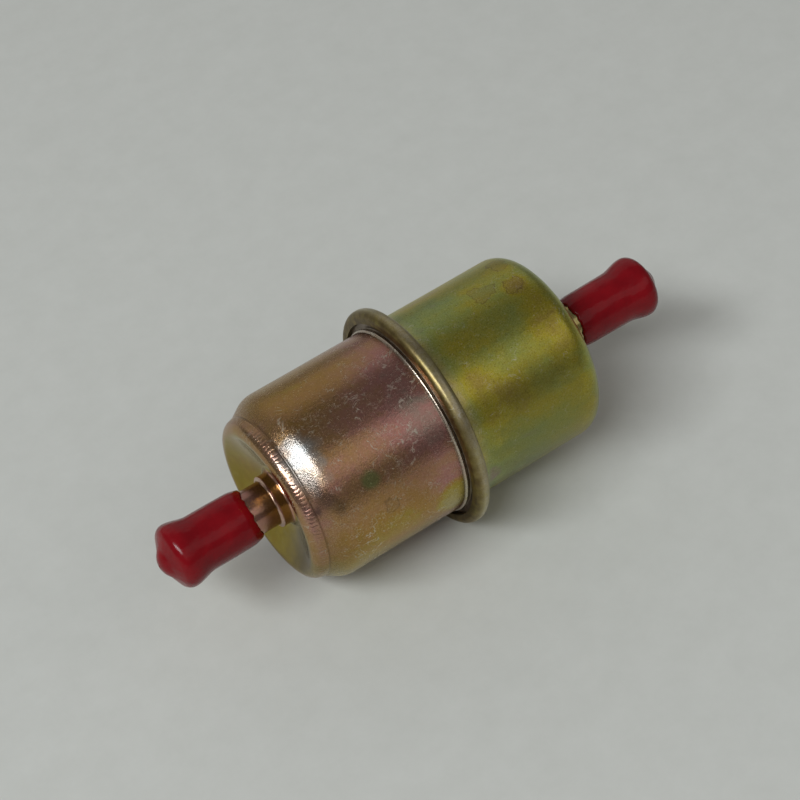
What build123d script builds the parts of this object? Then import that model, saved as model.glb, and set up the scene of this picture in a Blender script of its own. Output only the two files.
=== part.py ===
"""In-line metal fuel filter with a pleated paper element and vinyl transit caps.

Frame: +X runs along the filter in the direction of flow, from inlet to outlet, +Z is up,
and the origin is on the axis at the middle of the rolled seam. Millimetres.
"""
from build123d import *
import os
from math import cos, hypot, pi, radians, sin

os.makedirs("parts", exist_ok=True)

# ---------------------------------------------------------------- driving dimensions
sheet = 0.8                     # steel sheet of both cups
cup_radius = 20.1               # outside of both cups
rim_radius = 24.1               # crest of the rolled seam
gasket_thick = 0.8              # sealing ring squeezed in the seam

tube_radius = 4.75              # hose tubes are 9.5 mm, for 3/8 in hose
tube_bore = 3.8
tube_end = 56.7                 # tip of each hose tube
bead_radius = 5.55              # hose bead near the tip

inlet_shoulder_radius = 11.0    # long soft shoulder of the inlet cup
inlet_end_radius = 2.4          # tight radius round the inlet cup's end
inlet_neck_end = 34.6
outlet_shoulder_radius = 4.5
outlet_face = 33.0
outlet_neck_end = 36.4
neck_radius = tube_radius + sheet

cap_mouth = 38.4                # where each transit cap starts
cap_end = 59.8                  # tip of the cap's nub
cap_bore = 4.85

paper_start = -20.6             # ends of the pleated paper along the axis
paper_end = 22.6
pleats = 20
plate_radius = 16.4
plate_sheet = 0.5
potting_thick = 1.3
core_radius = 6.9
core_wall = 0.5
collar_radius = 4.3             # the element's outlet collar
collar_end = 30.0

spring_radius = 9.5
spring_wire = 0.6               # wire radius
spring_turns = 3.2


def finish(block, label):
    """Labels a finished sub-part and writes its STEP file."""
    block.part.label = label
    export_step(block.part, f"parts/{label}.step")


def pressed_cup(corners, bends):
    """Outline of a cup's sheet: its outer line, bent at the corners, thickened inwards."""
    with BuildSketch(Plane.XZ) as outline:
        with BuildLine():
            line = FilletPolyline(*corners, radius=bends)
            offset(line, amount=sheet, side=Side.RIGHT if corners[-1][0] > 0 else Side.LEFT)
        make_face()
    return outline.sketch


# ---------------------------------------------------------------- seam and cups
# Across the seam, from inlet to outlet: folded lip, inlet flange, gasket, outlet flange.
flange_outer = -sheet
fold_outer = -2 * sheet
outlet_flange = gasket_thick + sheet
flange_tip = rim_radius - 2 * sheet
inlet_bends = [0.4, inlet_shoulder_radius, 0.6, inlet_end_radius, 1.0]
inlet_corners = [
    (flange_outer, flange_tip),
    (flange_outer, cup_radius),
    (-28.77, cup_radius),           # long shoulder
    (-32.15, 17.9),                 # slight waist behind the end ridge
    (-35.95, 16.92),                # end ridge
    (-31.7, neck_radius),           # foot of the dished end
    (-inlet_neck_end, neck_radius),
]
lip_centre = (-1.75, cup_radius - 0.05)
lip_radius = 0.5

with BuildPart() as inlet_cup:
    add(pressed_cup(inlet_corners, inlet_bends))
    revolve(axis=Axis.X)
    # Raised lip beside the seam.
    with BuildSketch(Plane.XZ):
        with Locations(lip_centre):
            Circle(lip_radius)
    revolve(axis=Axis.X)
finish(inlet_cup, "inlet_cup")

crest_flat = 0.3                # narrow flat along the crest of the fold
fold_bend = (outlet_flange - fold_outer - crest_flat) / 2
outlet_corners = [
    (fold_outer, rim_radius - 2.5),
    (fold_outer, rim_radius),
    (outlet_flange, rim_radius),
    (outlet_flange, cup_radius),
    (outlet_face, cup_radius),
    (outlet_face, neck_radius),
    (outlet_neck_end, neck_radius),
]
outlet_bends = [fold_bend, fold_bend, 0.8, outlet_shoulder_radius, 1.6]

with BuildPart() as outlet_cup:
    add(pressed_cup(outlet_corners, outlet_bends))
    revolve(axis=Axis.X)
finish(outlet_cup, "outlet_cup")

with BuildPart() as seam_gasket:
    with BuildSketch(Plane.YZ):
        Circle(flange_tip)
        Circle(cup_radius + 0.5, mode=Mode.SUBTRACT)
    extrude(amount=gasket_thick)
finish(seam_gasket, "seam_gasket")


# ---------------------------------------------------------------- hose tubes, braze, caps
def hose_tube(label, side, inner_end):
    """Steel tube with a rolled hose bead near its tip."""
    with BuildPart() as tube:
        with BuildSketch(Plane.XZ):
            with BuildLine():
                Polyline(
                    (side * inner_end, tube_bore),
                    (side * inner_end, tube_radius),
                    (side * (tube_end - 3.4), tube_radius),
                )
                ThreePointArc(
                    (side * (tube_end - 3.4), tube_radius),
                    (side * (tube_end - 2.0), bead_radius),
                    (side * (tube_end - 0.6), tube_radius),
                )
                Polyline(
                    (side * (tube_end - 0.6), tube_radius),
                    (side * tube_end, tube_radius - 0.4),
                    (side * tube_end, tube_bore),
                    (side * inner_end, tube_bore),
                )
            make_face()
        revolve(axis=Axis.X)
    finish(tube, label)


def braze_ring(label, side, neck_end):
    """Fillet of braze between the cup's neck and its tube."""
    braze_length = 0.8
    with BuildPart() as ring:
        with BuildSketch(Plane.XZ):
            with BuildLine():
                Polyline(
                    (side * (neck_end + braze_length), tube_radius),
                    (side * neck_end, tube_radius),
                    (side * neck_end, neck_radius - 0.15),
                )
                ThreePointArc(
                    (side * neck_end, neck_radius - 0.15),
                    (side * (neck_end + 0.35), tube_radius + 0.28),
                    (side * (neck_end + braze_length), tube_radius),
                )
            make_face()
        revolve(axis=Axis.X)
    finish(ring, label)


def dust_cap(label, side):
    """Vinyl cap stretched over the bead, so its closed end flares out, with a small nub."""
    mouth_radius = 5.35
    grip_radius = 5.8
    flare_radius = 6.75
    inner_end = tube_end + 0.5
    bead_room = bead_radius + 0.1
    with BuildPart() as cap:
        with BuildSketch(Plane.XZ):
            with BuildLine():
                Line((side * cap_mouth, cap_bore), (side * cap_mouth, mouth_radius))
                Spline(
                    (side * cap_mouth, mouth_radius),
                    (side * (cap_mouth + 3.0), grip_radius - 0.1),
                    (side * (cap_mouth + 12.0), grip_radius + 0.1),
                    (side * (cap_mouth + 16.9), flare_radius),
                    tangents=[(side, 0.3), (side, 0)],
                )
                ThreePointArc(
                    (side * (cap_mouth + 16.9), flare_radius),
                    (side * (cap_mouth + 18.6), flare_radius - 0.7),
                    (side * (cap_mouth + 19.4), flare_radius - 2.2),
                )
                Spline(
                    (side * (cap_mouth + 19.4), flare_radius - 2.2),
                    (side * (cap_end - 1.55), 3.3),
                    (side * (cap_end - 0.85), 2.2),
                    (side * cap_end, 0),
                    tangents=[(side * 0.25, -1), (0, -1)],
                )
                Polyline(
                    (side * cap_end, 0),
                    (side * inner_end, 0),
                    (side * inner_end, tube_radius - 0.2),
                    (side * (tube_end - 0.4), bead_room),
                    (side * (tube_end - 3.6), bead_room),
                    (side * (tube_end - 5.4), cap_bore),
                    (side * cap_mouth, cap_bore),
                )
            make_face()
        revolve(axis=Axis.X)
    finish(cap, label)


hose_tube("inlet_tube", -1, 32.0)
hose_tube("outlet_tube", 1, outlet_face + 0.2)
braze_ring("inlet_braze_ring", -1, inlet_neck_end)
braze_ring("outlet_braze_ring", 1, outlet_neck_end)
dust_cap("inlet_dust_cap", -1)
dust_cap("outlet_dust_cap", 1)

# ---------------------------------------------------------------- filter element
half_pitch = pi / pleats


def star(tip_radius, valley_radius):
    """Corners of a closed star with one point for each pleat, from a tip on +Z."""
    radii = [tip_radius, valley_radius] * pleats
    return [(r * sin(i * half_pitch), r * cos(i * half_pitch)) for i, r in enumerate(radii)]


paper_tip = 15.0
paper_valley = 8.7
paper_depth = 1.7               # radial thickness of the slanting paper
paper_length = paper_end - paper_start

with BuildPart() as filter_paper:
    with BuildSketch(Plane.YZ.offset(paper_start)):
        with BuildLine():
            Polyline(*star(paper_tip, paper_valley), close=True)
        make_face()
        with BuildLine():
            Polyline(*star(paper_tip - paper_depth, paper_valley - paper_depth), close=True)
        make_face(mode=Mode.SUBTRACT)
    extrude(amount=paper_length)
finish(filter_paper, "filter_paper")

clip_foot = 12.4
with BuildPart() as pleat_seam_clip:
    with BuildSketch(Plane.YZ.offset(paper_start + 0.4)):
        with BuildLine():
            Polyline(
                (0, paper_tip + 0.85),
                (1.35, clip_foot),
                (0.95, clip_foot),
                (0, paper_tip + 0.2),
                (-0.95, clip_foot),
                (-1.35, clip_foot),
                close=True,
            )
        make_face()
    extrude(amount=paper_length - 0.8)
finish(pleat_seam_clip, "pleat_seam_clip")

hole_rows = 7
holes_round = 8
hole_radius = 1.3
row_pitch = paper_length / hole_rows
with BuildPart() as core_tube:
    with BuildSketch(Plane.YZ.offset(paper_start)):
        Circle(core_radius)
        Circle(core_radius - core_wall, mode=Mode.SUBTRACT)
    extrude(amount=paper_length)
    for row in range(hole_rows):
        centre = paper_start + (row + 0.5) * row_pitch
        for spoke in range(holes_round // 2):
            turn = (spoke + 0.5 * (row % 2)) * 360 / holes_round
            across = Plane(origin=(centre, 0, 0), z_dir=(0, cos(radians(turn)), sin(radians(turn))))
            with BuildSketch(across):
                Circle(hole_radius)
            extrude(amount=core_radius + 1, both=True, mode=Mode.SUBTRACT)
finish(core_tube, "core_tube")


def potting_ring(label, start, bore):
    """Flat ring of adhesive that bonds the paper's end to its plate."""
    with BuildPart() as ring:
        with BuildSketch(Plane.YZ.offset(start)):
            Circle(plate_radius - plate_sheet)
            Circle(bore, mode=Mode.SUBTRACT)
        extrude(amount=potting_thick)
    finish(ring, label)


closed_plate_back = paper_start - potting_thick - plate_sheet
open_plate_front = paper_end + potting_thick + plate_sheet
plate_rim = potting_thick + 2.0     # how far each plate's rim reaches along the paper
potting_ring("closed_end_potting", paper_start - potting_thick, 5.0)
potting_ring("open_end_potting", paper_end, 5.0)

with BuildPart() as closed_end_plate:
    with BuildSketch(Plane.YZ.offset(closed_plate_back)):
        Circle(plate_radius)
    extrude(amount=plate_sheet + plate_rim)
    with BuildSketch(Plane.YZ.offset(closed_plate_back + plate_sheet)):
        Circle(plate_radius - plate_sheet)
    extrude(amount=plate_rim, mode=Mode.SUBTRACT)
    fillet(closed_end_plate.edges().filter_by(GeomType.CIRCLE).group_by(Axis.X)[0], 0.4)
finish(closed_end_plate, "closed_end_plate")

with BuildPart() as open_end_plate:
    with BuildSketch(Plane.YZ.offset(open_plate_front)):
        Circle(plate_radius)
    extrude(amount=-plate_sheet - plate_rim)
    with BuildSketch(Plane.YZ.offset(open_plate_front - plate_sheet)):
        Circle(plate_radius - plate_sheet)
    extrude(amount=-plate_rim, mode=Mode.SUBTRACT)
    with BuildSketch(Plane.YZ.offset(open_plate_front)):
        Circle(collar_radius)
    extrude(amount=collar_end - open_plate_front)
    with BuildSketch(Plane.YZ.offset(collar_end)):
        Circle(collar_radius - plate_sheet)
    extrude(amount=-(collar_end - open_plate_front + plate_sheet), mode=Mode.SUBTRACT)
finish(open_end_plate, "open_end_plate")

# ---------------------------------------------------------------- seal, spring and its seat
seal_flange_radius = 9.5
with BuildPart() as outlet_seal:
    with BuildSketch(Plane.XZ):
        with BuildLine():
            Polyline(
                (open_plate_front, collar_radius),
                (open_plate_front, 7.4),
                (29.6, 7.4),
                (30.2, seal_flange_radius),
                (outlet_face - sheet, seal_flange_radius),
                (outlet_face - sheet, 7.4),
                (31.0, collar_radius),
                close=True,
            )
        make_face()
    revolve(axis=Axis.X)
finish(outlet_seal, "outlet_seal")

# Inner surface of the inlet cup's dished end, where the spring's seat lies.
dish_crest, dish_foot = inlet_corners[4], inlet_corners[5]
dish_slope = (dish_crest[0] - dish_foot[0]) / (dish_crest[1] - dish_foot[1])
seat_clearance = 0.05


def dish_inside(radius):
    """Axial place of the dished end's inner surface at a radius."""
    outer = dish_foot[0] + (radius - dish_foot[1]) * dish_slope
    return outer + sheet * hypot(1, dish_slope) + seat_clearance


seat_inner = 7.9
seat_outer = 11.6
seat_sheet = 0.6
with BuildPart() as spring_seat:
    with BuildSketch(Plane.XZ):
        with BuildLine():
            Polyline(
                (dish_inside(seat_inner), seat_inner),
                (dish_inside(seat_outer), seat_outer),
                (dish_inside(seat_outer) + 1.6, seat_outer),
                (dish_inside(seat_outer) + 1.6, seat_outer - seat_sheet),
                (dish_inside(seat_outer - seat_sheet) + seat_sheet, seat_outer - seat_sheet),
                (dish_inside(seat_inner) + seat_sheet, seat_inner),
                close=True,
            )
        make_face()
    revolve(axis=Axis.X)
finish(spring_seat, "spring_seat")

spring_gap = 0.05
spring_low = dish_inside(spring_radius - spring_wire) + seat_sheet + spring_wire + spring_gap
spring_height = closed_plate_back - spring_wire - spring_gap - spring_low
with BuildPart() as element_spring:
    with BuildLine() as coil:
        Helix(
            pitch=spring_height / spring_turns,
            height=spring_height,
            radius=spring_radius,
            center=(spring_low, 0, 0),
            direction=(1, 0, 0),
        )
    with BuildSketch(Plane(origin=coil.line @ 0, z_dir=coil.line % 0)):
        Circle(spring_wire)
    sweep(path=coil.line, is_frenet=True)
finish(element_spring, "element_spring")
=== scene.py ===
import bpy
from math import asin, atan2, cos, hypot, pi, radians, sin, tan
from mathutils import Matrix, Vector, noise


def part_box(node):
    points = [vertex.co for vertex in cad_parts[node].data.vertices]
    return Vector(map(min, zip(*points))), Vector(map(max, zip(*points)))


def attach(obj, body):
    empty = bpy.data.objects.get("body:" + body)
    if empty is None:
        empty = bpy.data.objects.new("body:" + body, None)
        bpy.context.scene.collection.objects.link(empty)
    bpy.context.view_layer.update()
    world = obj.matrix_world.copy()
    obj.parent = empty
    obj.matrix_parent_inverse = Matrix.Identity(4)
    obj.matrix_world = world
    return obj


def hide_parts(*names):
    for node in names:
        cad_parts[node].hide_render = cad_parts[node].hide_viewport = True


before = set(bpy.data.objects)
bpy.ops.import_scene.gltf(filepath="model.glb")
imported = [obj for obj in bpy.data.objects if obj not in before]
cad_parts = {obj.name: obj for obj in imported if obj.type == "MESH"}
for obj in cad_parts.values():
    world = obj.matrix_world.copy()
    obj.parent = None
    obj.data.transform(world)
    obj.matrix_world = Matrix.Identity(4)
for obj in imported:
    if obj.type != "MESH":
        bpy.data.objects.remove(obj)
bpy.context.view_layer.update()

MM = 0.001
AROUND = 192                       # steps in a full turn of a round piece

# ---------------------------------------------------------------- sizes, in millimetres
SHEET = 0.8
CUP_RADIUS = 20.1
RIM_RADIUS = 24.1
TUBE_RADIUS = 4.75
TUBE_BORE = 3.8
NECK_RADIUS = TUBE_RADIUS + SHEET


def box_mm(node):
    """A CAD node's lowest and highest corners in millimetres."""
    low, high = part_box(node)
    return [v / MM for v in low], [v / MM for v in high]


CAP_MOUTH = box_mm("outlet_dust_cap")[0][0]
CAP_END = box_mm("outlet_dust_cap")[1][0]
TUBE_END = box_mm("outlet_tube")[1][0]
BEAD_RADIUS = box_mm("outlet_tube")[1][2]
INLET_NECK_END = -box_mm("inlet_braze_ring")[1][0]
OUTLET_NECK_END = box_mm("outlet_braze_ring")[0][0]
OUTLET_FACE = OUTLET_NECK_END - 3.4


# ---------------------------------------------------------------- modelling helpers
def select_none():
    bpy.ops.object.select_all(action="DESELECT")


def rounded(corners, radii, step=radians(9)):
    """An open line through corners, each inner corner rounded to its radius by an arc."""
    points = [Vector(corners[0])]
    for before, here, after, radius in zip(corners, corners[1:], corners[2:], radii):
        here = Vector(here)
        back = (Vector(before) - here).normalized()
        ahead = (Vector(after) - here).normalized()
        half = back.angle(ahead) / 2
        reach = radius / tan(half)
        centre = here + (back + ahead).normalized() * (radius / sin(half))
        first = here + back * reach - centre
        last = here + ahead * reach - centre
        turn = first.angle_signed(last)
        count = max(2, round(abs(turn) / step))
        start = atan2(first.y, first.x)
        for i in range(count + 1):
            angle = start - turn * i / count
            points.append(centre + radius * Vector((cos(angle), sin(angle))))
    points.append(Vector(corners[-1]))
    return points


def refine(points, longest=1.2):
    """Divides the long straight stretches of a line, so that the surface can be worked."""
    out = [points[0]]
    for a, b in zip(points, points[1:]):
        count = max(1, int((b - a).length / longest))
        out += [a.lerp(b, i / count) for i in range(1, count + 1)]
    return out


def turned(name, points, closed=False, steps=AROUND):
    """A body of revolution about X: a line drawn by extruding a vertex, then spun."""
    select_none()
    bpy.ops.mesh.primitive_plane_add(size=MM)
    piece = bpy.context.object
    piece.name = name
    bpy.ops.object.mode_set(mode="EDIT")
    bpy.ops.mesh.select_all(action="SELECT")
    bpy.ops.mesh.merge(type="CENTER")
    bpy.ops.transform.translate(value=(points[0].x * MM, 0, points[0].y * MM))
    path = list(points[1:]) + ([points[0]] if closed else [])
    here = points[0]
    for point in path:
        move = (point - here) * MM
        bpy.ops.mesh.extrude_vertices_move(TRANSFORM_OT_translate={"value": (move.x, 0, move.y)})
        here = point
    bpy.ops.mesh.select_all(action="SELECT")
    bpy.ops.mesh.remove_doubles(threshold=0.001 * MM)
    bpy.ops.mesh.select_all(action="SELECT")
    bpy.ops.mesh.spin(steps=steps, angle=2 * pi, center=(0, 0, 0), axis=(1, 0, 0))
    bpy.ops.mesh.select_all(action="SELECT")
    bpy.ops.mesh.remove_doubles(threshold=0.002 * MM)
    bpy.ops.mesh.normals_make_consistent(inside=False)
    bpy.ops.object.mode_set(mode="OBJECT")
    return piece


def apply_modifier(piece, kind, **settings):
    """Adds a modifier, sets it and applies it."""
    select_none()
    piece.select_set(True)
    bpy.context.view_layer.objects.active = piece
    mod = piece.modifiers.new(kind.lower(), kind)
    for key, value in settings.items():
        setattr(mod, key, value)
    bpy.ops.object.modifier_apply(modifier=mod.name)


def smooth(piece, angle=40):
    select_none()
    piece.select_set(True)
    bpy.context.view_layer.objects.active = piece
    bpy.ops.object.shade_smooth_by_angle(angle=radians(angle))


def place(piece, body, node):
    """Lets a finished piece stand for its CAD node."""
    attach(piece, body)
    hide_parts(node)


def unevenness(piece, amount, size, seed, inside_radius=0.0):
    """Sinks the surface a little here and there, as pressed or dipped work is never perfect."""
    mesh = piece.data
    offset = Vector((seed * 7.3, seed * 3.1, seed * 5.7))
    normals = [v.normal.copy() for v in mesh.vertices]
    for vertex, normal in zip(mesh.vertices, normals):
        if hypot(vertex.co.y, vertex.co.z) < inside_radius * MM:
            continue
        wave = 0.5 + 0.5 * noise.noise(vertex.co / (size * MM) + offset)
        vertex.co -= normal * (wave * amount * MM)


# ---------------------------------------------------------------- cups
inlet_corners = [
    (-SHEET, RIM_RADIUS - 2 * SHEET),
    (-SHEET, CUP_RADIUS),
    (-28.77, CUP_RADIUS),
    (-32.0, 18.0),
    (-32.25, 17.72),
    (-32.6, 17.83),
    (-35.95, 16.92),
    (-31.7, NECK_RADIUS),
    (-INLET_NECK_END, NECK_RADIUS),
]
inlet_bends = [0.4, 5.5, 0.12, 0.12, 0.25, 2.4, 1.0]
LIP_X = -1.75
LIP_HEIGHT = 0.45


def lip_rise(x):
    """Height of the small raised lip that the seaming roll leaves beside the seam."""
    across = (x - LIP_X) / 0.5
    return LIP_HEIGHT * (1 - across * across) ** 0.5 if abs(across) < 1 else 0.0


def make_inlet_cup():
    line = refine(rounded(inlet_corners, inlet_bends))
    wall = [p for p in line if abs(p.y - CUP_RADIUS) > 0.001 or not -2.6 < p.x < -1.2]
    lip = [Vector((LIP_X + 0.5 * sin(radians(a)), 0)) for a in range(80, -81, -16)]
    lip = [Vector((p.x, CUP_RADIUS + lip_rise(p.x))) for p in lip]
    first_wall = next(i for i, p in enumerate(wall) if p.x < -2.5)
    cup = turned("inlet_cup_shell", wall[:first_wall] + lip + wall[first_wall:])
    apply_modifier(cup, "SOLIDIFY", thickness=SHEET * MM, offset=-1)
    unevenness(cup, 0.07, 9.0, 1)
    smooth(cup)
    return cup


def make_outlet_cup():
    corners = [
        (-2 * SHEET, RIM_RADIUS - 2.5),
        (-2 * SHEET, RIM_RADIUS),
        (2 * SHEET, RIM_RADIUS),
        (2 * SHEET, CUP_RADIUS),
        (OUTLET_FACE, CUP_RADIUS),
        (OUTLET_FACE, NECK_RADIUS),
        (OUTLET_NECK_END, NECK_RADIUS),
    ]
    cup = turned("outlet_cup_shell", refine(rounded(corners, [1.45, 1.45, 0.8, 4.5, 1.6])))
    apply_modifier(cup, "SOLIDIFY", thickness=SHEET * MM, offset=-1)
    unevenness(cup, 0.07, 10.0, 2)
    smooth(cup)
    return cup


# ---------------------------------------------------------------- tubes, braze and caps
def make_tube(name, side, inner_end):
    bead_start = TUBE_END - 3.4
    bead = [
        Vector((bead_start + 2.8 * i / 12, TUBE_RADIUS + (BEAD_RADIUS - TUBE_RADIUS) * sin(pi * i / 12)))
        for i in range(13)
    ]
    outline = refine([Vector((inner_end, TUBE_BORE)), Vector((inner_end, TUBE_RADIUS)), bead[0]])
    outline += bead[1:]
    outline += refine([Vector((TUBE_END - 0.3, TUBE_RADIUS)), Vector((TUBE_END, TUBE_RADIUS - 0.3)),
                       Vector((TUBE_END, TUBE_BORE + 0.15)), Vector((TUBE_END - 0.2, TUBE_BORE)),
                       Vector((inner_end + 0.6, TUBE_BORE))])
    tube = turned(name, [Vector((side * p.x, p.y)) for p in outline], closed=True, steps=96)
    smooth(tube)
    return tube


def make_braze(name, side, neck_end):
    """Braze run into the corner between neck and tube, a little uneven round the tube."""
    foot_radius = NECK_RADIUS - 0.22
    outline = [Vector((neck_end - 0.02, TUBE_RADIUS - 0.01)), Vector((neck_end - 0.02, foot_radius))]
    for i in range(1, 9):
        across = i / 8
        rise = (foot_radius - TUBE_RADIUS) * (1 - across) ** 2.2
        outline.append(Vector((neck_end + 0.5 * across, TUBE_RADIUS + rise)))
    ring = turned(name, [Vector((side * p.x, p.y)) for p in outline], closed=True, steps=128)
    unevenness(ring, 0.08, 1.6, 3 + side, inside_radius=TUBE_RADIUS + 0.05)
    smooth(ring, 60)
    return ring


def make_cap(name, side, grip, retreat, seed):
    """Dipped vinyl cap: ragged mouth, snug grip, flare over the tube's bead and a blunt nub.

    Known fault: the outline leaves one edge on the axis, so the open edges that are bridged are
    the mouth's two rings and that edge. Stray faces then cross the mouth and close it with a cone.
    """
    flare = grip + 0.9
    flare_at = CAP_MOUTH + 16.9
    line = [Vector((CAP_MOUTH, 5.05)), Vector((CAP_MOUTH + 0.12, 5.25))]
    for i in range(22):             # grip, swelling a little towards the flare
        t = i / 21
        swell = sin(min(1, t * 4) * pi / 2)
        line.append(Vector((CAP_MOUTH + 0.3 + 11.7 * t, 5.35 + (grip - 5.45) * swell + 0.1 * t)))
    for i in range(1, 13):          # flare over the bead
        t = i / 12
        ease = t * t * (3 - 2 * t)
        line.append(Vector((CAP_MOUTH + 12 + 4.9 * t, grip + (flare - grip) * ease)))
    for i in range(1, 11):          # rounded shoulder of the closed end
        a = radians(78) * i / 10
        line.append(Vector((flare_at + 2.3 * sin(a), flare - 2.3 + 2.3 * cos(a))))
    shoulder = line[-1]
    nub_start = Vector((CAP_END - 1.35, 3.1))
    line += [shoulder.lerp(nub_start, i / 4) for i in range(1, 5)]
    for i in range(1, 11):          # blunt nub left by the last drip
        t = i / 10
        line.append(Vector((nub_start.x + 1.25 * sin(t * pi / 2), nub_start.y * (1 - t) ** 0.8)))
    line[-1].y = 0
    inner_end = TUBE_END + 0.5
    inner = [Vector((inner_end, 0)), Vector((inner_end, TUBE_RADIUS - 0.2)),
             Vector((TUBE_END - 0.4, BEAD_RADIUS + 0.1)), Vector((TUBE_END - 3.6, BEAD_RADIUS + 0.1)),
             Vector((TUBE_END - 5.4, TUBE_RADIUS + 0.1)), Vector((CAP_MOUTH, TUBE_RADIUS + 0.1))]
    outline = line + refine(inner, 0.9)
    cap = turned(name, [Vector((side * p.x, p.y)) for p in outline], steps=128)
    select_none()                   # bridge every open edge: the mouth's rings, and the axis edge too
    cap.select_set(True)
    bpy.context.view_layer.objects.active = cap
    bpy.ops.object.mode_set(mode="EDIT")
    bpy.ops.mesh.select_all(action="DESELECT")
    bpy.ops.mesh.select_non_manifold(extend=False)
    bpy.ops.mesh.bridge_edge_loops()
    bpy.ops.mesh.select_all(action="SELECT")
    bpy.ops.mesh.normals_make_consistent(inside=False)
    bpy.ops.object.mode_set(mode="OBJECT")
    for vertex in cap.data.vertices:    # the mouth was cut while soft, so its edge wanders
        along = abs(vertex.co.x) / MM - CAP_MOUTH
        angle = atan2(-vertex.co.y, vertex.co.z)
        if along < 5.0:
            facing = 0.5 + 0.5 * cos(angle - radians(41))
            wander = 0.10 * sin(5 * angle + seed) + 0.09 * sin(11 * angle + 2.1 * seed)
            wander += 0.07 * sin(19 * angle + seed)
            vertex.co.x += side * (0.25 + retreat * facing ** 2 + wander) * MM * (1 - along / 5.0)
    unevenness(cap, 0.12, 5.0, seed, inside_radius=TUBE_RADIUS + 0.3)
    smooth(cap, 55)
    return cap


inlet_cup = make_inlet_cup()
outlet_cup = make_outlet_cup()
inlet_tube = make_tube("inlet_hose_tube", -1, 32.0)
outlet_tube = make_tube("outlet_hose_tube", 1, OUTLET_FACE + 0.2)
inlet_braze = make_braze("inlet_braze_fillet", -1, INLET_NECK_END)
outlet_braze = make_braze("outlet_braze_fillet", 1, OUTLET_NECK_END)
inlet_cap = make_cap("inlet_vinyl_cap", -1, 5.95, 1.5, 1.0)
outlet_cap = make_cap("outlet_vinyl_cap", 1, 5.75, 0.2, 4.0)

place(inlet_cup, "filter", "inlet_cup")
place(outlet_cup, "filter", "outlet_cup")
place(inlet_tube, "filter", "inlet_tube")
place(outlet_tube, "filter", "outlet_tube")
place(inlet_braze, "filter", "inlet_braze_ring")
place(outlet_braze, "filter", "outlet_braze_ring")
place(inlet_cap, "inlet_cap", "inlet_dust_cap")
place(outlet_cap, "outlet_cap", "outlet_dust_cap")


# ---------------------------------------------------------------- material helpers
def material(name, **settings):
    """A material with a Principled BSDF, its plain settings made on the shader's own sockets."""
    mat = bpy.data.materials.new(name)
    mat.use_nodes = True
    shader = mat.node_tree.nodes["Principled BSDF"]
    for key, value in settings.items():
        shader.inputs[key.replace("_", " ")].default_value = value
    return mat, mat.node_tree, shader


def add_node(tree, kind, inputs=(), **settings):
    """A node with its settings made and its inputs set or linked."""
    node = tree.nodes.new(kind)
    for key, value in settings.items():
        setattr(node, key, value)
    for key, value in dict(inputs).items():
        if isinstance(value, bpy.types.NodeSocket):
            tree.links.new(value, node.inputs[key])
        else:
            node.inputs[key].default_value = value
    return node


def maths(tree, operation, a, b=0.0, clamp=False):
    return add_node(tree, "ShaderNodeMath", {0: a, 1: b}, operation=operation, use_clamp=clamp).outputs[0]


def ramp(tree, value, stops, interpolation="LINEAR"):
    """A colour ramp with stops of (place, colour) or (place, grey)."""
    node = add_node(tree, "ShaderNodeValToRGB", {"Fac": value})
    node.color_ramp.interpolation = interpolation
    elements = node.color_ramp.elements
    while len(elements) < len(stops):
        elements.new(0.5)
    for element, (spot, colour) in zip(elements, stops):
        element.position = spot
        element.color = (*colour, 1) if isinstance(colour, tuple) else (colour, colour, colour, 1)
    return node.outputs["Color"]


def mix(tree, factor, a, b, blend="MIX"):
    node = add_node(tree, "ShaderNodeMix", {0: factor, 6: a, 7: b}, data_type="RGBA", blend_type=blend)
    return node.outputs[2]


def millimetres(tree, stretch=(1, 1, 1), shift=(0, 0, 0)):
    """Object coordinates in millimetres, stretched for long or short patterns."""
    coords = add_node(tree, "ShaderNodeTexCoord")
    scale = tuple(s / MM for s in stretch)
    inputs = {"Vector": coords.outputs["Object"], "Scale": scale, "Location": shift}
    return add_node(tree, "ShaderNodeMapping", inputs).outputs[0]


def cloud(tree, vector, scale, detail=4.0, distortion=0.0, roughness=0.55):
    inputs = {"Vector": vector, "Scale": scale, "Detail": detail, "Distortion": distortion,
              "Roughness": roughness}
    return add_node(tree, "ShaderNodeTexNoise", inputs).outputs["Fac"]


def group(name, inputs, outputs):
    """An empty node group with named sockets, and its input and output nodes."""
    tree = bpy.data.node_groups.new(name, "ShaderNodeTree")
    for label, kind, value in inputs:
        socket = tree.interface.new_socket(label, in_out="INPUT", socket_type=kind)
        if value is not None:
            socket.default_value = value
    for label, kind in outputs:
        tree.interface.new_socket(label, in_out="OUTPUT", socket_type=kind)
    return tree, tree.nodes.new("NodeGroupInput").outputs, tree.nodes.new("NodeGroupOutput").inputs


def use(tree, shared, inputs):
    node = tree.nodes.new("ShaderNodeGroup")
    node.node_tree = shared
    for key, value in inputs.items():
        if isinstance(value, bpy.types.NodeSocket):
            tree.links.new(value, node.inputs[key])
        else:
            node.inputs[key].default_value = value
    return node.outputs


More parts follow.
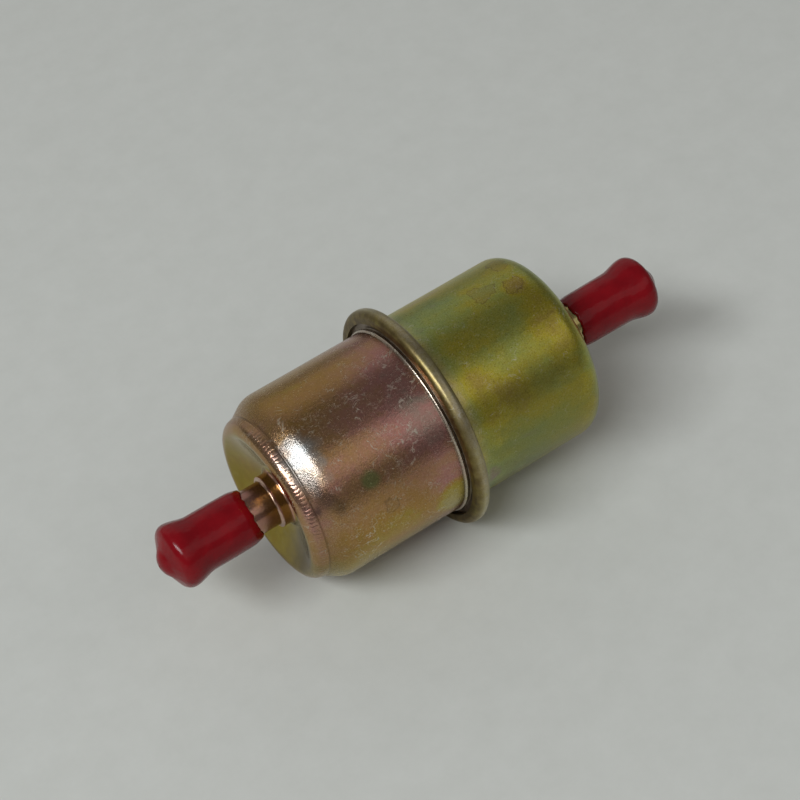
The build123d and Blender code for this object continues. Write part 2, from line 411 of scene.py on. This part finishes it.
# ---------------------------------------------------------------- shared effects
def film_group():
    """Colour of the yellow passivation film on zinc as its thickness changes from 0 to 1."""
    tree, ins, outs = group(
        "passivation_film", [("Thickness", "NodeSocketFloat", 0.5)], [("Color", "NodeSocketColor")]
    )
    stops = [
        (0.00, (0.50, 0.47, 0.39)),
        (0.12, (0.46, 0.39, 0.17)),
        (0.24, (0.42, 0.32, 0.045)),
        (0.35, (0.42, 0.24, 0.060)),
        (0.45, (0.43, 0.235, 0.115)),
        (0.55, (0.45, 0.205, 0.185)),
        (0.63, (0.34, 0.25, 0.21)),
        (0.72, (0.30, 0.37, 0.13)),
        (0.82, (0.36, 0.38, 0.085)),
        (0.92, (0.47, 0.39, 0.040)),
        (1.00, (0.42, 0.31, 0.060)),
    ]
    tree.links.new(ramp(tree, ins["Thickness"], stops), outs["Color"])
    return tree


def round_group():
    """Place on a turned piece in millimetres: along its axis, out from it, and round it in turns."""
    tree, ins, outs = group(
        "round_place", [("Vector", "NodeSocketVector", None)],
        [("Along", "NodeSocketFloat"), ("Radius", "NodeSocketFloat"), ("Turn", "NodeSocketFloat")],
    )
    parts = add_node(tree, "ShaderNodeSeparateXYZ", {"Vector": ins["Vector"]}).outputs
    flat = add_node(tree, "ShaderNodeCombineXYZ", {"Y": parts["Y"], "Z": parts["Z"]})
    reach = add_node(tree, "ShaderNodeVectorMath", {0: flat.outputs[0]}, operation="LENGTH")
    turn = maths(tree, "DIVIDE", maths(tree, "ARCTAN2", parts["Y"], parts["Z"]), 2 * pi)
    tree.links.new(parts["X"], outs["Along"])
    tree.links.new(reach.outputs["Value"], outs["Radius"])
    tree.links.new(turn, outs["Turn"])
    return tree


def scuff_group():
    """Short pale squiggles and hairlines, gathered in places, as a mask."""
    tree, ins, outs = group(
        "pale_scuffs",
        [("Vector", "NodeSocketVector", None), ("Scale", "NodeSocketFloat", 0.5),
         ("Width", "NodeSocketFloat", 0.012), ("Amount", "NodeSocketFloat", 0.4)],
        [("Mask", "NodeSocketFloat")],
    )
    hills = cloud(tree, ins["Vector"], ins["Scale"], detail=3.0, distortion=0.8, roughness=0.6)
    line = maths(tree, "ABSOLUTE", maths(tree, "SUBTRACT", hills, 0.5))
    line = maths(tree, "SUBTRACT", 1.0, maths(tree, "DIVIDE", line, ins["Width"]), clamp=True)
    cuts = cloud(tree, ins["Vector"], 0.36, detail=4.0, roughness=0.8)
    drift = cloud(tree, ins["Vector"], 0.11, detail=2.0, roughness=0.5)
    gathered = maths(tree, "ADD", maths(tree, "MULTIPLY", cuts, 0.6), maths(tree, "MULTIPLY", drift, 0.4))
    threshold = maths(tree, "SUBTRACT", 0.75, maths(tree, "MULTIPLY", ins["Amount"], 0.5))
    shown = maths(tree, "SUBTRACT", gathered, threshold)
    shown = maths(tree, "MULTIPLY", shown, 14.0, clamp=True)
    tree.links.new(maths(tree, "MULTIPLY", line, shown), outs["Mask"])
    return tree


def patch_group():
    """Soft-edged patch round a place on the surface, its border broken by noise."""
    tree, ins, outs = group(
        "stain_patch",
        [("Vector", "NodeSocketVector", None), ("Centre", "NodeSocketVector", None),
         ("Radius", "NodeSocketFloat", 5.0), ("Soft", "NodeSocketFloat", 2.0),
         ("Ragged", "NodeSocketFloat", 3.0)],
        [("Mask", "NodeSocketFloat"), ("Edge", "NodeSocketFloat")],
    )
    ends = {0: ins["Vector"], 1: ins["Centre"]}
    away = add_node(tree, "ShaderNodeVectorMath", ends, operation="DISTANCE").outputs["Value"]
    ragged = cloud(tree, ins["Vector"], 0.35, detail=4.0, roughness=0.5)
    ragged = maths(tree, "MULTIPLY", maths(tree, "SUBTRACT", ragged, 0.5), ins["Ragged"])
    away = maths(tree, "SUBTRACT", maths(tree, "ADD", away, ragged), ins["Radius"])
    inside = maths(tree, "SUBTRACT", 0.5, maths(tree, "DIVIDE", away, ins["Soft"]), clamp=True)
    tree.links.new(inside, outs["Mask"])
    line = maths(tree, "DIVIDE", maths(tree, "ABSOLUTE", away), 0.25)
    tree.links.new(maths(tree, "SUBTRACT", 1.0, line, clamp=True), outs["Edge"])
    return tree


FILM = film_group()
ROUND = round_group()
SCUFFS = scuff_group()
PATCH = patch_group()


def profile_ramp(tree, value, start, end, stops):
    """A value that follows stops of (millimetres, value) between start and end."""
    spots = [((spot - start) / (end - start), amount) for spot, amount in stops]
    share = add_node(tree, "ShaderNodeMapRange", {"Value": value, "From Min": start, "From Max": end})
    return ramp(tree, share.outputs["Result"], spots)


# ---------------------------------------------------------------- plated steel
WORN_EDGE = (0.56, 0.51, 0.42, 1)
SCUFF = (0.74, 0.71, 0.60, 1)
STAIN_LINE = (0.13, 0.07, 0.03, 1)
STAIN = (0.30, 0.19, 0.09, 1)
DARK_TOOTH = (0.16, 0.12, 0.05, 1)
PALE_TOOTH = (0.66, 0.60, 0.44, 1)
SPECK = (0.12, 0.09, 0.05, 1)
# dark brown for painted shade in grooves and creases, and for grime
SHADE_AND_GRIME = (0.075, 0.045, 0.018, 1)
FACE_DIRT = (0.14, 0.09, 0.012, 1)


def plated_steel(name, span, along_film, along_wear, along_peel, along_shade_and_grime, face, patches, tints,
                 rings, ticks, scuff_amount, roughness, clouding):
    """Zinc plated and yellow passivated steel under an iridescent film of uneven thickness.

    along_film, along_wear, along_peel and the profile after them give the film's thickness, how far it is
    rubbed off, how coarse the drawn sheet is, and how dark the painted shade in the grooves and creases
    and the grime are along the axis. face is the radius of the cup's flat end, which is smooth, with the
    film's thickness and the dirt there.
    Patches are (centre, radius, softness, change of thickness), tints are (centre, radius,
    softness, amount, colour) and go on last, rings are dried-on stain outlines, and ticks are
    (start, end, count, depth) of the marks that the forming rolls left.
    """
    mat, tree, shader = material(name, Metallic=1.0)
    vector = millimetres(tree)
    place_on = use(tree, ROUND, {"Vector": vector})
    along, radius, turn = place_on["Along"], place_on["Radius"], place_on["Turn"]
    outer = maths(tree, "SUBTRACT", radius, face[0] - 0.5, clamp=True)
    film = profile_ramp(tree, along, span[0], span[1], along_film)
    film = maths(tree, "ADD", maths(tree, "MULTIPLY", maths(tree, "SUBTRACT", film, face[1]), outer), face[1])
    broad = cloud(tree, millimetres(tree, stretch=(0.45, 1, 1)), 0.10, detail=3.0, distortion=0.5)
    fine = cloud(tree, vector, 0.5, detail=6.0, roughness=0.7)
    film = maths(tree, "ADD", film, maths(tree, "MULTIPLY", maths(tree, "SUBTRACT", broad, 0.5), clouding))
    film = maths(tree, "ADD", film, maths(tree, "MULTIPLY", maths(tree, "SUBTRACT", fine, 0.5), 0.17))
    for centre, size, soft, shift in patches:
        spot = use(tree, PATCH, {"Vector": vector, "Centre": centre, "Radius": size, "Soft": soft,
                                 "Ragged": soft})
        film = maths(tree, "ADD", film, maths(tree, "MULTIPLY", spot["Mask"], shift))
    film = maths(tree, "ADD", film, 0.0, clamp=True)
    colour = use(tree, FILM, {"Thickness": film})["Color"]

    wear = profile_ramp(tree, along, span[0], span[1], along_wear)
    rubbed = ramp(tree, cloud(tree, vector, 0.8, detail=4.0, roughness=0.7), [(0.35, 0.6), (0.60, 1.0)])
    worn = maths(tree, "MULTIPLY", maths(tree, "MULTIPLY", wear, rubbed), outer)
    colour = mix(tree, worn, colour, WORN_EDGE)
    scuffs = use(tree, SCUFFS, {"Vector": vector, "Scale": 0.26, "Width": 0.022,
                                "Amount": scuff_amount})["Mask"]
    hairs = use(tree, SCUFFS, {"Vector": millimetres(tree, shift=(31, 7, 3)), "Scale": 0.7, "Width": 0.022,
                               "Amount": scuff_amount})["Mask"]
    marks = maths(tree, "MAXIMUM", scuffs, maths(tree, "MULTIPLY", hairs, 0.7))
    marks = maths(tree, "MULTIPLY", marks, maths(tree, "ADD", maths(tree, "MULTIPLY", outer, 0.8), 0.2))
    colour = mix(tree, maths(tree, "MULTIPLY", marks, 0.75), colour, SCUFF)
    for centre, size in rings:
        stain = use(tree, PATCH, {"Vector": vector, "Centre": centre, "Radius": size, "Soft": 1.0,
                                  "Ragged": size * 2.6})
        colour = mix(tree, maths(tree, "MULTIPLY", stain["Edge"], 0.55), colour, STAIN_LINE)
        colour = mix(tree, maths(tree, "MULTIPLY", stain["Mask"], 0.25), colour, STAIN)
    tooth = cloud(tree, vector, 3.4, detail=3.0, roughness=0.7)
    dark_grain = maths(tree, "MULTIPLY", ramp(tree, tooth, [(0.34, 0.42), (0.48, 0.0)]), outer)
    pale_grain = maths(tree, "MULTIPLY", ramp(tree, tooth, [(0.54, 0.0), (0.70, 0.34)]), outer)
    colour = mix(tree, dark_grain, colour, DARK_TOOTH)
    colour = mix(tree, pale_grain, colour, PALE_TOOTH)
    specks = cloud(tree, vector, 2.4, detail=5.0, roughness=0.75)
    colour = mix(tree, ramp(tree, specks, [(0.28, 0.60), (0.44, 0.0)]), colour, SPECK)
    # painted shade and grime: darkens the seam's groove, the rim's inner side and the groove by the
    # shoulder's ridge, as much as the profile along the axis gives
    shade_and_grime = maths(tree, "MULTIPLY", profile_ramp(tree, along, span[0], span[1], along_shade_and_grime), outer)
    patchy = ramp(tree, cloud(tree, vector, 0.6, detail=4.0), [(0.35, 0.7), (0.60, 1.0)])
    colour = mix(tree, maths(tree, "MULTIPLY", shade_and_grime, patchy), colour, SHADE_AND_GRIME)
    dirt = maths(tree, "MULTIPLY", maths(tree, "SUBTRACT", 1.0, outer), face[2])
    colour = mix(tree, maths(tree, "MULTIPLY", dirt, patchy), colour, FACE_DIRT)
    # last tones: some are the film's own colours, some are painted shade on the lower sides and a painted
    # highlight tone on the inlet shoulder
    for centre, size, soft, amount, tint in tints:
        spot = use(tree, PATCH, {"Vector": vector, "Centre": centre, "Radius": size, "Soft": soft,
                                 "Ragged": soft * 1.5})
        colour = mix(tree, maths(tree, "MULTIPLY", spot["Mask"], amount), colour, (*tint, 1))
    tree.links.new(colour, shader.inputs["Base Color"])

    rough = maths(tree, "ADD", roughness, maths(tree, "MULTIPLY", maths(tree, "SUBTRACT", tooth, 0.5), 0.20))
    rough = maths(tree, "ADD", rough, maths(tree, "MULTIPLY", marks, 0.20))
    rough = maths(tree, "ADD", rough, maths(tree, "MULTIPLY", shade_and_grime, 0.15))
    rough = maths(tree, "MAXIMUM", rough, 0.12)
    rough = maths(tree, "ADD", rough, maths(tree, "MULTIPLY", maths(tree, "SUBTRACT", outer, 1.0), 0.08))
    tree.links.new(rough, shader.inputs["Roughness"])

    # Heights in millimetres.
    peel = cloud(tree, vector, 1.4, detail=3.0, roughness=0.6)
    drawing = maths(tree, "MULTIPLY", profile_ramp(tree, along, span[0], span[1], along_peel), outer)
    height = maths(tree, "MULTIPLY", peel, maths(tree, "MULTIPLY", drawing, 0.05))
    grain = maths(tree, "MULTIPLY", tooth, maths(tree, "MULTIPLY", drawing, 0.016))
    height = maths(tree, "ADD", height, grain)
    coarse = maths(tree, "MULTIPLY", maths(tree, "POWER", drawing, 2.0), 0.055)
    height = maths(tree, "ADD", height, maths(tree, "MULTIPLY", tooth, coarse))
    drawn = cloud(tree, millimetres(tree, stretch=(0.08, 1, 1)), 1.1, detail=3.0)
    drawn = maths(tree, "MULTIPLY", drawn, maths(tree, "MULTIPLY", drawing, 0.02))
    height = maths(tree, "ADD", height, drawn)
    height = maths(tree, "ADD", height, maths(tree, "MULTIPLY", marks, 0.008))
    for start, end, count, depth in ticks:
        jitter = maths(tree, "MULTIPLY", cloud(tree, vector, 0.5), 0.012)
        wave = maths(tree, "SINE", maths(tree, "MULTIPLY", maths(tree, "ADD", turn, jitter), 2 * pi * count))
        wave = maths(tree, "POWER", maths(tree, "ABSOLUTE", wave), 0.6)
        middle = (start + end) / 2
        inside = maths(tree, "ABSOLUTE", maths(tree, "SUBTRACT", along, middle))
        inside = maths(tree, "SUBTRACT", 1.0, maths(tree, "DIVIDE", inside, abs(end - start) / 2), clamp=True)
        inside = maths(tree, "MULTIPLY", inside, 2.0, clamp=True)
        broken = ramp(tree, cloud(tree, vector, 0.3, detail=2.0), [(0.40, 0.2), (0.60, 1.0)])
        strength = maths(tree, "MULTIPLY", maths(tree, "MULTIPLY", inside, broken), depth)
        strength = maths(tree, "MULTIPLY", strength, outer)
        height = maths(tree, "ADD", height, maths(tree, "MULTIPLY", wave, strength))
    bump = add_node(tree, "ShaderNodeBump", {"Height": height, "Strength": 1.0, "Distance": MM})
    tree.links.new(bump.outputs["Normal"], shader.inputs["Normal"])
    return mat


def red_vinyl():
    mat, tree, shader = material("dipped_red_vinyl", IOR=1.3)
    vector = millimetres(tree)
    depth = cloud(tree, vector, 0.25, detail=3.0)
    colour = ramp(tree, depth, [(0.3, (0.155, 0.0016, 0.005)), (0.7, (0.215, 0.0030, 0.007))])
    dust = cloud(tree, vector, 4.5, detail=3.0, roughness=0.8)
    colour = mix(tree, ramp(tree, dust, [(0.70, 0.0), (0.80, 0.18)]), colour, (0.45, 0.22, 0.20, 1))
    tree.links.new(colour, shader.inputs["Base Color"])
    haze = cloud(tree, vector, 0.8, detail=4.0)
    tree.links.new(ramp(tree, haze, [(0.35, 0.16), (0.70, 0.26)]), shader.inputs["Roughness"])
    runs = cloud(tree, millimetres(tree, stretch=(0.5, 1, 1)), 0.45, detail=2.0)
    ripple = maths(tree, "MULTIPLY", runs, 0.16)
    ripple = maths(tree, "ADD", ripple, maths(tree, "MULTIPLY", cloud(tree, vector, 2.2, detail=2.0), 0.008))
    bump = add_node(tree, "ShaderNodeBump", {"Height": ripple, "Strength": 1.0, "Distance": MM})
    tree.links.new(bump.outputs["Normal"], shader.inputs["Normal"])
    return mat


def plain_finish(name, dark, light, roughness, metallic, scale, bump_size):
    """A hidden piece's finish: two tones of noise with matching roughness and tooth."""
    mat, tree, shader = material(name, Metallic=metallic)
    vector = millimetres(tree)
    tone = cloud(tree, vector, scale, detail=5.0, roughness=0.65)
    tree.links.new(ramp(tree, tone, [(0.3, dark), (0.7, light)]), shader.inputs["Base Color"])
    rough = maths(tree, "ADD", roughness, maths(tree, "MULTIPLY", maths(tree, "SUBTRACT", tone, 0.5), 0.3))
    tree.links.new(rough, shader.inputs["Roughness"])
    bump = add_node(tree, "ShaderNodeBump", {"Height": cloud(tree, vector, scale * 6), "Strength": 0.4,
                                             "Distance": bump_size})
    tree.links.new(bump.outputs["Normal"], shader.inputs["Normal"])
    return mat


def dress(obj, mat):
    obj.data.materials.clear()
    obj.data.materials.append(mat)


inlet_span = (-36.5, 0.0)
inlet_film = [(-36.5, 0.26), (-35.2, 0.36), (-34.0, 0.48), (-31.0, 0.44), (-16.0, 0.48), (-6.0, 0.55),
              (0.0, 0.50)]
inlet_wear = [(-35.6, 0.0), (-34.6, 0.10), (-32.0, 0.06), (-27.0, 0.0), (-2.5, 0.0), (-2.2, 0.9), (-1.0, 0.8)]
inlet_peel = [(-36.0, 0.1), (-34.0, 0.3), (-32.4, 0.6), (-31.8, 1.0), (-28.0, 0.85), (-22.0, 0.62),
              (0.0, 0.55)]
inlet_patches = [
    ((-36.0, 0.0, 0.0), 6.8, 0.6, 0.27),         # copper neck
    ((-4.0, -19.6, -3.6), 4.4, 2.0, -0.27),      # yellow beside the seam
    ((-6.0, -14.5, 14.0), 7.0, 5.0, 0.04),       # rose beside the seam
    ((-20.0, -16.0, -12.0), 15.0, 9.0, -0.19),   # gold underside
    ((-19.0, 9.0, 18.0), 12.0, 9.0, -0.11),      # gold along the back
]
# grey put where the window's highlight falls on the inlet shoulder: a painted highlight tone
HIGHLIGHT_GREY = (0.38, 0.385, 0.385)
inlet_tints = [
    ((-36.0, 0.0, 0.0), 6.8, 0.6, 0.92, (0.60, 0.34, 0.25)),          # copper neck
    ((-20.5, -17.2, 10.4), 1.9, 1.2, 0.75, (0.20, 0.25, 0.09)),      # green blotch
    ((-29.6, -16.2, 11.0), 2.0, 1.8, 0.6, (0.11, 0.07, 0.045)),      # dark mottling by the shoulder
    ((-27.8, -17.6, 8.8), 1.3, 1.4, 0.5, (0.11, 0.07, 0.045)),
    ((-31.9, -15.9, 8.6), 0.9, 0.9, 0.7, (0.08, 0.05, 0.045)),
    ((-29.8, -8.6, 17.0), 3.4, 4.0, 0.95, HIGHLIGHT_GREY),                # painted highlight tone: grey where the window's reflection falls on the shoulder, making it whiter and smaller
    ((-30.4, -12.5, 14.0), 2.4, 3.5, 0.6, HIGHLIGHT_GREY),
    ((-13.0, -19.0, 6.5), 5.0, 7.0, 0.28, (0.20, 0.10, 0.04)),       # painted shade: duller, darker lower side, standing in for the dark surroundings it reflects
    ((-31.0, -18.0, -4.0), 6.0, 7.0, 0.35, (0.20, 0.12, 0.03)),
    ((-33.5, -10.0, -8.0), 7.0, 6.0, 0.45, (0.10, 0.06, 0.012)),     # painted shade: darker lower half of the end face
]
inlet_rings = [((-18.2, -19.7, 3.8), 1.5)]
# painted shade in the seam's groove, on the rim's inner side and in the groove by the shoulder's ridge, with
# some grime
inlet_shade_and_grime = [(-36.5, 0.0), (-35.9, 0.0), (-35.4, 0.12), (-34.9, 0.0), (-32.7, 0.0), (-32.4, 0.55),
               (-32.1, 0.16), (-30.5, 0.10), (-28.0, 0.0),
               (-2.4, 0.0), (-2.25, 0.35), (-2.1, 0.0), (-1.45, 0.0), (-1.2, 0.8), (0.0, 0.8)]
outlet_span = (-1.7, 36.5)
outlet_film = [(-1.7, 0.99), (0.0, 0.97), (2.0, 0.93), (4.4, 0.82), (7.0, 0.90), (14.0, 0.88), (22.0, 0.84),
               (28.0, 0.90), (31.5, 0.82), (33.0, 0.80), (36.5, 0.92)]
outlet_wear = [(-1.5, 0.10), (-0.6, 0.45), (0.2, 0.75), (0.8, 0.60), (2.0, 0.45), (3.6, 0.20), (5.0, 0.0),
               (36.5, 0.0)]
outlet_peel = [(-1.7, 0.25), (3.0, 0.4), (6.0, 0.68), (26.0, 0.68), (31.0, 0.6), (33.5, 0.1), (36.5, 0.05)]
# painted shade in the seam's groove and over the rim, with some grime
outlet_shade_and_grime = [(-1.7, 0.88), (-1.2, 0.82), (-0.6, 0.50), (-0.2, 0.18), (0.3, 0.24), (0.9, 0.42),
                (1.9, 0.42), (3.0, 0.0), (36.5, 0.0)]
outlet_patches = [
    ((5.6, -12.9, 15.4), 4.5, 4.0, 0.03),        # bright yellow beside the seam
    ((9.0, 3.0, 19.8), 6.0, 5.0, -0.15),         # green along the back
    ((10.0, -19.6, -3.0), 8.0, 6.0, -0.13),      # green underside
    ((25.0, -13.5, 14.9), 5.0, 5.0, 0.07),       # deeper yellow near the shoulder
    ((14.0, -17.0, 10.7), 3.5, 4.0, 0.07),
    ((26.3, -1.0, 20.1), 2.2, 2.6, 0.12),        # brown stains on the shoulder
    ((27.0, -9.0, 17.0), 4.0, 4.0, 0.09),
]
outlet_tints = [((18.0, -19.0, -1.0), 14.0, 10.0, 0.50, (0.17, 0.15, 0.045))]   # painted shade: duller, darker lower side, standing in for the dark surroundings it reflects
outlet_rings = [((26.3, -1.0, 20.1), 1.8), ((20.0, 1.2, 20.0), 2.4), ((27.5, 6.5, 18.3), 2.2)]
roll_marks = [(-34.4, -32.5, 62, 0.075), (-2.3, -1.2, 130, 0.014)]
inlet_steel = plated_steel(
    "inlet_plated_steel", inlet_span, inlet_film, inlet_wear, inlet_peel, inlet_shade_and_grime,
    face=(15.4, 0.25, 0.42), patches=inlet_patches, tints=inlet_tints, rings=inlet_rings,
    ticks=roll_marks, scuff_amount=0.46, roughness=0.24, clouding=0.28,
)
outlet_steel = plated_steel(
    "outlet_plated_steel", outlet_span, outlet_film, outlet_wear, outlet_peel, outlet_shade_and_grime,
    face=(15.0, 0.82, 0.2), patches=outlet_patches, tints=outlet_tints, rings=outlet_rings,
    ticks=[], scuff_amount=0.40, roughness=0.31, clouding=0.46,
)
tube_span = (-60.0, 60.0)
tube_film = [(-60.0, 0.52), (-34.0, 0.52), (34.0, 0.16), (60.0, 0.24)]
tube_wear = [(-60.0, 0.2), (-38.0, 0.05), (38.0, 0.25), (60.0, 0.3)]
tube_peel = [(-60.0, 0.06), (60.0, 0.06)]
tube_grime = [(-60.0, 0.15), (-42.0, 0.05), (42.0, 0.05), (60.0, 0.15)]
tube_steel = plated_steel(
    "tube_plated_steel", tube_span, tube_film, tube_wear, tube_peel, tube_grime,
    face=(0.0, 0.5, 0.0), patches=[], tints=[], rings=[],
    ticks=[], scuff_amount=0.30, roughness=0.20, clouding=0.20,
)
braze_metal = plain_finish("copper_braze", (0.46, 0.28, 0.20), (0.62, 0.43, 0.35), 0.20, 1.0, 0.9, 0.00003)
vinyl = red_vinyl()

dress(inlet_cup, inlet_steel)
dress(outlet_cup, outlet_steel)
dress(inlet_tube, tube_steel)
dress(outlet_tube, tube_steel)
dress(inlet_braze, braze_metal)
dress(outlet_braze, braze_metal)
dress(inlet_cap, vinyl)
dress(outlet_cap, vinyl)

tinplate = plain_finish("bright_tinplate", (0.42, 0.42, 0.40), (0.66, 0.66, 0.64), 0.30, 1.0, 0.3, 0.00003)
rubber = plain_finish("nitrile_rubber", (0.012, 0.012, 0.012), (0.035, 0.034, 0.033), 0.62, 0.0, 0.8, 0.00005)
paper = plain_finish("resin_paper", (0.55, 0.38, 0.14), (0.72, 0.55, 0.26), 0.80, 0.0, 1.5, 0.00006)
adhesive = plain_finish("plastisol_adhesive", (0.34, 0.10, 0.05), (0.50, 0.18, 0.09), 0.45, 0.0, 0.5, 0.00005)
wire = plain_finish("drawn_spring_wire", (0.22, 0.22, 0.23), (0.40, 0.40, 0.42), 0.28, 1.0, 1.2, 0.00002)
hidden = {
    "seam_gasket": rubber, "outlet_seal": rubber, "filter_paper": paper, "pleat_seam_clip": tinplate,
    "core_tube": tinplate, "closed_end_plate": tinplate, "open_end_plate": tinplate,
    "closed_end_potting": adhesive, "open_end_potting": adhesive, "element_spring": wire,
    "spring_seat": tinplate,
}
for node_name, finish in hidden.items():
    dress(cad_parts[node_name], finish)

# ---------------------------------------------------------------- floor, light and camera
# Left to itself the filter leans on its seam and on the inlet cup's shoulder. The camera and the
# lights are set out from that leaning plane, while the floor itself lies level under the seam.
LEAN_X = 28.6                      # where the shoulder touches, along the axis from the seam
LEAN_RADIUS = 19.7                 # and its radius there
REST_TILT = asin((RIM_RADIUS - LEAN_RADIUS) / hypot(LEAN_X, RIM_RADIUS - LEAN_RADIUS))
rest_normal = Vector((sin(REST_TILT), 0, cos(REST_TILT)))
rest_right = Vector((cos(REST_TILT), 0, -sin(REST_TILT)))
rest_back = rest_normal.cross(rest_right)


def from_rest(azimuth, elevation, distance):
    """A place by its bearing from the filter, over the plane that it leans on; in metres."""
    a, e = radians(azimuth), radians(elevation)
    flat = rest_right * cos(a) + rest_back * sin(a)
    return (flat * cos(e) + rest_normal * sin(e)) * distance


def make_floor():
    select_none()
    bpy.ops.mesh.primitive_plane_add(size=12.0)
    floor = bpy.context.object
    floor.name = "floor"
    floor.location.z = -(RIM_RADIUS + 0.05) * MM
    mat, tree, shader = material("pale_table", Roughness=0.75)
    vector = millimetres(tree)
    tone = cloud(tree, vector, 0.12, detail=8.0, roughness=0.7)
    colour = ramp(tree, tone, [(0.3, (0.575, 0.575, 0.542)), (0.7, (0.61, 0.61, 0.578))])
    tree.links.new(colour, shader.inputs["Base Color"])
    dress(floor, mat)


def soft_light(name, azimuth, elevation, distance, width, height, power, colour=(1, 1, 1)):
    light = bpy.data.lights.new(name, "AREA")
    light.shape = "RECTANGLE"
    light.size, light.size_y = width, height
    light.energy = power
    light.color = colour
    lamp = bpy.data.objects.new(name, light)
    bpy.context.collection.objects.link(lamp)
    lamp.location = from_rest(azimuth, elevation, distance)
    lamp.visible_camera = False
    lamp.rotation_euler = lamp.location.to_track_quat("Z", "Y").to_euler()


def make_world():
    world = bpy.data.worlds.new("studio")
    bpy.context.scene.world = world
    world.use_nodes = True
    back = world.node_tree.nodes["Background"]
    back.inputs["Color"].default_value = (1.0, 1.0, 0.97, 1)
    back.inputs["Strength"].default_value = 0.162


def make_camera():
    data = bpy.data.cameras.new("camera")
    data.sensor_width = 36
    data.lens = 108
    data.clip_start = 0.01
    camera = bpy.data.objects.new("camera", data)
    bpy.context.collection.objects.link(camera)
    aim = Vector((-0.86, 3.40, 2.63)) * MM
    camera.location = aim + from_rest(azimuth=-123.8, elevation=40.85, distance=0.4772)
    back = (camera.location - aim).normalized()
    right = rest_normal.cross(back).normalized()
    up = back.cross(right)
    lean = radians(0.35)
    turn = camera.rotation_euler.to_matrix()
    turn.col[0] = right * cos(lean) - up * sin(lean)
    turn.col[1] = up * cos(lean) + right * sin(lean)
    turn.col[2] = back
    camera.rotation_euler = turn.to_euler()
    bpy.context.scene.camera = camera


make_floor()
soft_light("window", -160, 43, 1.8, 1.30, 0.38, 23.5, (0.93, 0.98, 1.0))
soft_light("front_bounce", -80, 46, 1.5, 2.4, 0.80, 2.9, (1.0, 0.99, 0.96))
soft_light("back_bounce", 84, 33, 1.5, 2.4, 1.20, 2.4, (1.0, 0.99, 0.96))
make_world()
make_camera()
bpy.context.scene.view_settings.view_transform = "Standard"
